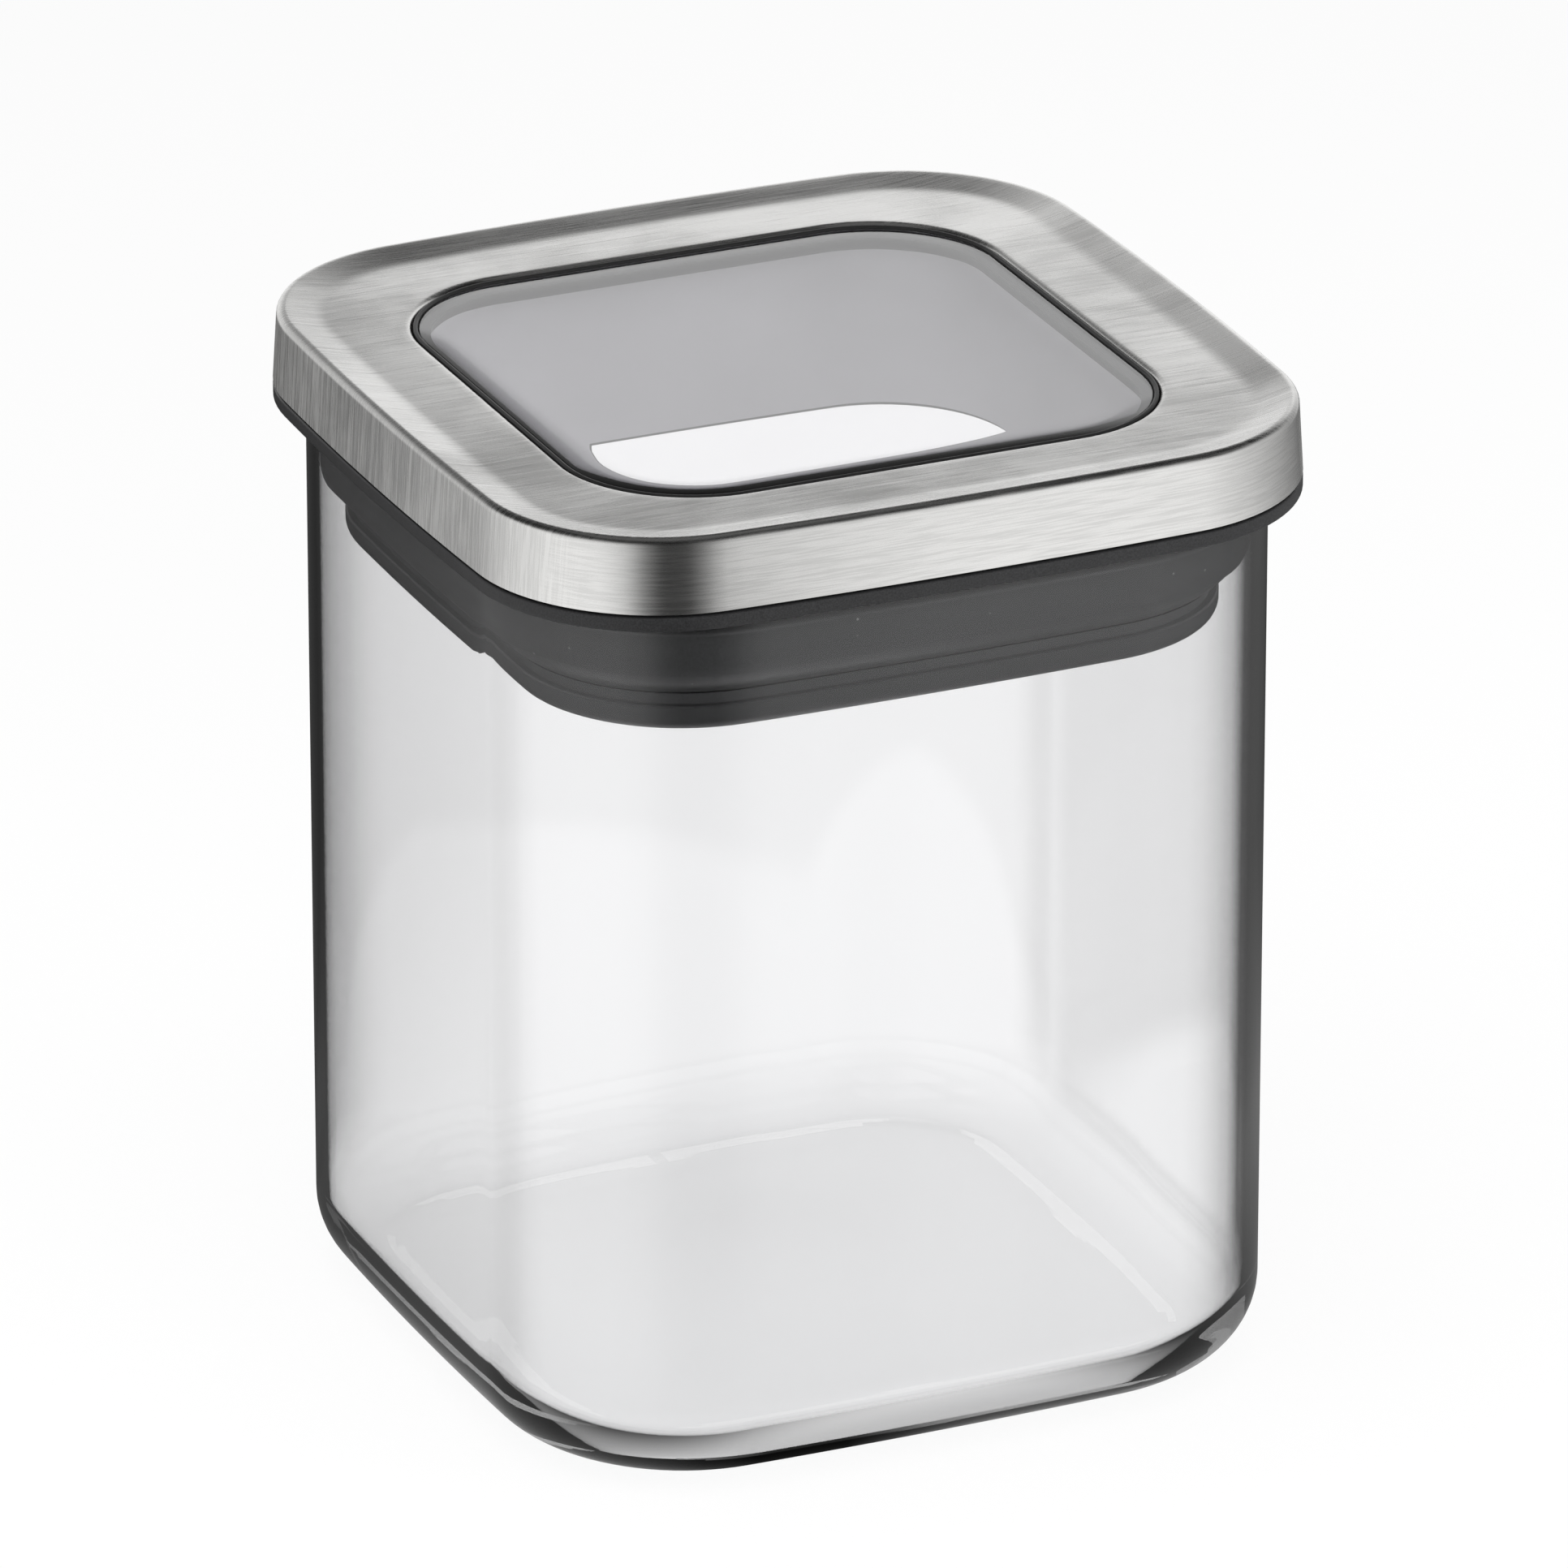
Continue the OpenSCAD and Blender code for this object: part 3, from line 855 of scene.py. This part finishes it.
# degrees round Z from +Y towards +X, and brightness
lowCards = [(-180, 0.50), (-174, 0.26), (-166, 0.06), (-153, 0.05), (-146, 0.24), (-138, 0.72),
            (-128, 0.98), (-109, 0.98), (-89, 0.82), (-70, 0.66), (-52, 0.42), (-40, 0.18), (-24, 0.06),
            (15, 0.03), (37, 0.03), (55, 0.05), (69, 0.13), (94, 0.34), (109, 0.50),
            (122, 0.66), (148, 0.96), (163, 0.96), (171, 0.82), (180, 0.50)]
# share of the high cards that is seen above the low ones
behindCards = [(-180, 0), (-55, 0), (-25, 1), (60, 1), (85, 0), (180, 0)]
# metres above the floor at the wall of cards, and brightness
highCards = [(0.0, 0.6), (0.09, 1.0), (0.211, 1.0), (0.223, 0.6), (0.240, 0.16), (0.265, 0.04),
             (0.47, 0.03), (0.5, 0.1), (1.0, 0.1)]


def cardGroup():
    # Brightness of the cards and dark gaps that stand round the object, by direction.
    #
    # Turn is the angle round Z in degrees from +Y towards +X, and the stops give the
    # brightness of the low cards; above them a pale band fades upwards into a dark gap.
    tree, start, end = group("studioCards", [("Place", "NodeSocketVector", None)],
                             [("Low", "NodeSocketFloat"), ("High", "NodeSocketFloat"),
                              ("Behind", "NodeSocketFloat")])
    split = addNode(tree, "ShaderNodeSeparateXYZ")
    tree.links.new(start.outputs["Place"], split.inputs[0])
    turn = calc(tree, "ARCTAN2", split.outputs["X"], split.outputs["Y"])
    ramp = addNode(tree, "ShaderNodeValToRGB")
    tree.links.new(mapRange(tree, turn, -np.pi, np.pi, 0, 1), ramp.inputs[0])
    setStops(ramp, [((a + 180) / 360, v) for a, v in lowCards])
    power = studio["cardPower"]
    tree.links.new(calc(tree, "MULTIPLY", ramp.outputs["Color"], power), end.inputs["Low"])
    # the pale band's upper edge comes down towards the left
    turnFrom, turnTo = np.radians(studio["dropTurn"])
    slope = mapRange(tree, turn, turnFrom, turnTo, studio["dropHeight"], 0, smooth=True)
    rise = addNode(tree, "ShaderNodeValToRGB")
    tree.links.new(calc(tree, "ADD", split.outputs["Z"], slope), rise.inputs[0])
    setStops(rise, highCards)
    tree.links.new(calc(tree, "MULTIPLY", rise.outputs["Color"], power), end.inputs["High"])
    behind = addNode(tree, "ShaderNodeValToRGB")
    tree.links.new(mapRange(tree, turn, -np.pi, np.pi, 0, 1), behind.inputs[0])
    setStops(behind, [((a + 180) / 360, v) for a, v in behindCards])
    tree.links.new(behind.outputs["Color"], end.inputs["Behind"])
    return tree


studioCards = cardGroup()


def rayMasks(tree):
    # Camera rays, mirrored rays, and rays that went straight through clear walls.
    path = addNode(tree, "ShaderNodeLightPath")
    inside = calc(tree, "GREATER_THAN", path.outputs["Glossy Depth"], 0.5)
    through = path.outputs["Is Transmission Ray"]
    bent = calc(tree, "MULTIPLY", through, inside)
    straight = calc(tree, "SUBTRACT", through, bent, clamp=True)
    mirrored = calc(tree, "MULTIPLY", path.outputs["Is Glossy Ray"], path.outputs["Is Reflection Ray"])
    return path.outputs["Is Camera Ray"], mirrored, straight, bent


def makeWorld(p):
    # White behind the object; the light itself is dimmer, and darker where light was
    # mirrored inside a clear wall.
    world = bpy.data.worlds.new("studioWorld")
    bpy.context.scene.world = world
    world.use_nodes = True
    tree = world.node_tree
    background = tree.nodes["Background"]
    camera, mirrored, straight, bent = rayMasks(tree)
    strength = mixFloat(tree, camera, p["fill"], p["white"])
    strength = mixFloat(tree, straight, strength, p["white"])
    cards = useGroup(tree, studioCards)
    tree.links.new(addNode(tree, "ShaderNodeTexCoord").outputs["Generated"], cards.inputs["Place"])
    above = mapRange(tree, cards.outputs["Low"], 0, p["cardPower"], p["bentAbove"], p["bentMost"])
    strength = mixFloat(tree, bent, strength, above)
    strength = mixFloat(tree, mirrored, strength, p["overhead"])
    tree.links.new(strength, background.inputs["Strength"])
    background.inputs["Color"].default_value = (1, 1, 1, 1)


def cardPaper():
    material, tree, shader = newMaterial("studioCardPaper")
    tree.nodes.remove(shader)
    cards = useGroup(tree, studioCards)
    place = objectPlace(tree)
    tree.links.new(place, cards.inputs["Place"])
    split = addNode(tree, "ShaderNodeSeparateXYZ")
    tree.links.new(place, split.inputs[0])
    above = mapRange(tree, split.outputs["Z"], *studio["highFrom"], 0, 1, smooth=True)
    fade = mapRange(tree, split.outputs["Z"], *studio["lowUpTo"], 1, studio["lowRest"], smooth=True)
    low = calc(tree, "MULTIPLY", cards.outputs["Low"], fade)
    share = calc(tree, "MULTIPLY", above, cards.outputs["Behind"])
    glow = addNode(tree, "ShaderNodeEmission")
    tree.links.new(mixFloat(tree, share, low, cards.outputs["High"]), glow.inputs["Strength"])
    clear = addNode(tree, "ShaderNodeBsdfTransparent")
    mix = addNode(tree, "ShaderNodeMixShader")
    tree.links.new(rayMasks(tree)[1], mix.inputs[0])
    tree.links.new(clear.outputs[0], mix.inputs[1])
    tree.links.new(glow.outputs[0], mix.inputs[2])
    tree.links.new(mix.outputs[0], tree.nodes["Material Output"].inputs["Surface"])
    return material


def makeTents(tents):
    # Round walls of cards that only mirrored light sees, each a circle carried up Z. The
    # lid's own wall goes up with it, so the steel looks the same when the jar is open.
    material = cardPaper()
    turn = np.linspace(0, 2 * np.pi, 65)[:-1]
    for name, p in tents.items():
        circle = np.column_stack([np.sin(turn), np.cos(turn)]) * p["radius"]
        heights = np.linspace(p["bottom"], p["top"], 9)
        grid = np.stack([np.column_stack([circle, np.full(len(circle), z)]) for z in heights])
        mesh = meshFromGrid(name, grid, False)
        mesh.materials.append(material)
        tent = bpy.data.objects.new(name, mesh)
        bpy.context.scene.collection.objects.link(tent)
        tent.visible_camera = False
        tent.visible_diffuse = False
        tent.visible_transmission = False
        tent.visible_shadow = False
        if p["body"]:
            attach(tent, p["body"])


def makeFloor(p):
    # A pale floor that keeps the shadow; it is drawn up to white by what the camera sees.
    half = p["floorSize"] / 2
    mesh = bpy.data.meshes.new("studioFloor")
    corners = [(-half, -half, 0), (half, -half, 0), (half, half, 0), (-half, half, 0)]
    mesh.from_pydata(corners, [], [(0, 1, 2, 3)])
    material, tree, shader = newMaterial("paleFloor")
    shader.inputs["Base Color"].default_value = (0.9, 0.9, 0.9, 1)
    shader.inputs["Roughness"].default_value = 0.9
    shader.inputs["Specular IOR Level"].default_value = 0.1
    camera, mirrored, straight, bent = rayMasks(tree)
    cards = useGroup(tree, studioCards)
    tree.links.new(objectPlace(tree), cards.inputs["Place"])
    # light bent by the thick base lands close to it and stays pale
    away = addNode(tree, "ShaderNodeVectorMath", {"operation": "LENGTH"})
    tree.links.new(objectPlace(tree), away.inputs[0])
    outside = mapRange(tree, away.outputs["Value"], *p["baseEdge"], p["baseGlow"], p["edgeDark"], smooth=True)
    level = mixFloat(tree, bent, 1.0, outside)
    # the base mirrors the floor right under it, which lies in its own shadow
    under = mapRange(tree, away.outputs["Value"], *p["nearBase"], p["underBase"], 1, smooth=True)
    level = mixFloat(tree, mirrored, level, calc(tree, "MULTIPLY", cards.outputs["Low"], under))
    glow = addNode(tree, "ShaderNodeEmission")
    tree.links.new(level, glow.inputs["Strength"])
    share = calc(tree, "MULTIPLY", calc(tree, "ADD", camera, straight, clamp=True), p["floorGlow"])
    share = calc(tree, "MAXIMUM", share, mirrored)
    share = calc(tree, "MAXIMUM", share, bent)
    mix = addNode(tree, "ShaderNodeMixShader")
    tree.links.new(share, mix.inputs[0])
    tree.links.new(shader.outputs[0], mix.inputs[1])
    tree.links.new(glow.outputs[0], mix.inputs[2])
    # seen from below the floor is not there, so the underside can be looked at
    oneSided = addNode(tree, "ShaderNodeMixShader")
    tree.links.new(addNode(tree, "ShaderNodeNewGeometry").outputs["Backfacing"], oneSided.inputs[0])
    tree.links.new(mix.outputs[0], oneSided.inputs[1])
    tree.links.new(addNode(tree, "ShaderNodeBsdfTransparent").outputs[0], oneSided.inputs[2])
    tree.links.new(oneSided.outputs[0], tree.nodes["Material Output"].inputs["Surface"])
    mesh.materials.append(material)
    floor = bpy.data.objects.new("studioFloor", mesh)
    bpy.context.scene.collection.objects.link(floor)


makeCamera(studio)
makeWorld(studio)
makeFloor(studio)
makeTents(cardTents)
makeLamps(softboxes)
bpy.context.scene.view_settings.view_transform = "Standard"
print("studio made")
